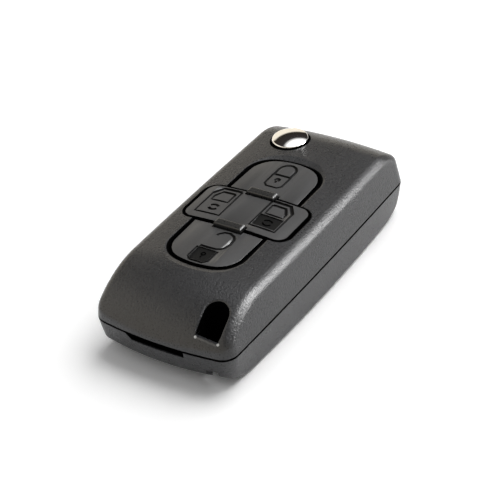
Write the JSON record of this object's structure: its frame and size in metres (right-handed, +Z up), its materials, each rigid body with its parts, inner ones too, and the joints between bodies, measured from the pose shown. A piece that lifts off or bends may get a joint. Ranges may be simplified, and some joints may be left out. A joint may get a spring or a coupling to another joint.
{
  "type": "folding car key fob",
  "caption": "Hand-held folding key fob: two moulded black covers, a cross of press keys with a door rocker, a chrome release button and a flip-out uncut blade.",
  "frame": {"origin": "on the flat underside, under the middle of the case", "axes": "+Z up through the keys, +Y to the release button's end, +X to the side away from the blade"},
  "size_m": [0.0339, 0.0729, 0.0187],
  "materials": {
    "cover_black": "black ABS with a fine spark-eroded grain",
    "key_black": "black, satin, smoother than the covers",
    "silicone_grey": "dark grey silicone",
    "board_green": "green solder mask",
    "carrier_black": "plain black moulding",
    "cell_steel": "pressed stainless can",
    "contact_metal": "nickel-plated spring strip",
    "coil_copper": "lacquered copper winding on ferrite",
    "chip_black": "moulded chip body",
    "capsule_glass": "sealed glass capsule",
    "hub_black": "glass-filled black moulding",
    "blade_nickel": "nickel-plated steel, uncut",
    "steel_plain": "plain steel",
    "plunger_white": "natural acetal",
    "cap_chrome": "bright chrome",
    "spring_steel": "spring steel wire",
    "switch_metal": "stainless dome in a black frame"
  },
  "bodies": {
    "case": {"top_cover": "cover_black", "bottom_cover": "cover_black", "keypad_mat": "silicone_grey", "circuit_board": "board_green", "board_carrier": "carrier_black", "coin_cell": "cell_steel", "negative_contact": "contact_metal", "positive_contact": "contact_metal", "antenna_coil": "coil_copper", "transmitter_chip": "chip_black", "transponder": "capsule_glass", "switch_lock": "switch_metal", "switch_unlock": "switch_metal", "switch_door_left": "switch_metal", "switch_door_right": "switch_metal"},
    "blade": {"blade_hub": "hub_black", "key_blade": "blade_nickel", "blade_pin": "steel_plain", "flip_spring": "spring_steel"},
    "release": {"release_plunger": "plunger_white", "release_cap": "cap_chrome", "hub_washer": "steel_plain", "hub_screw": "steel_plain"},
    "lock_key": {"lock_button": "key_black"},
    "unlock_key": {"unlock_button": "key_black"},
    "rocker": {"door_rocker": "key_black"}
  },
  "joints": [
    {"name": "blade_flip", "type": "hinge", "parent": "case", "child": "blade", "pos_m": [-0.0065, 0.0258, 0.008], "axis": [0, 0, -1], "range_deg": [0, 180]},
    {"name": "release_press", "type": "slide", "parent": "blade", "child": "release", "axis": [0, 0, -1], "range_m": [0, 0.0016], "stiffness_N_per_m": 1500, "springref_m": -0.001, "deforming": ["flip_spring"]},
    {"name": "lock_press", "type": "slide", "parent": "case", "child": "lock_key", "axis": [0, 0, -1], "range_m": [0, 0.0005], "stiffness_N_per_m": 2000, "springref_m": -0.0005},
    {"name": "unlock_press", "type": "slide", "parent": "case", "child": "unlock_key", "axis": [0, 0, -1], "range_m": [0, 0.0005], "stiffness_N_per_m": 2000, "springref_m": -0.0005},
    {"name": "door_rock", "type": "hinge", "parent": "case", "child": "rocker", "pos_m": [-0.0003, -0.0016, 0.0145], "axis": [0, 1, 0], "range_deg": [-2.5, 2.5], "stiffness_Nm_per_rad": 0.4}
  ]
}
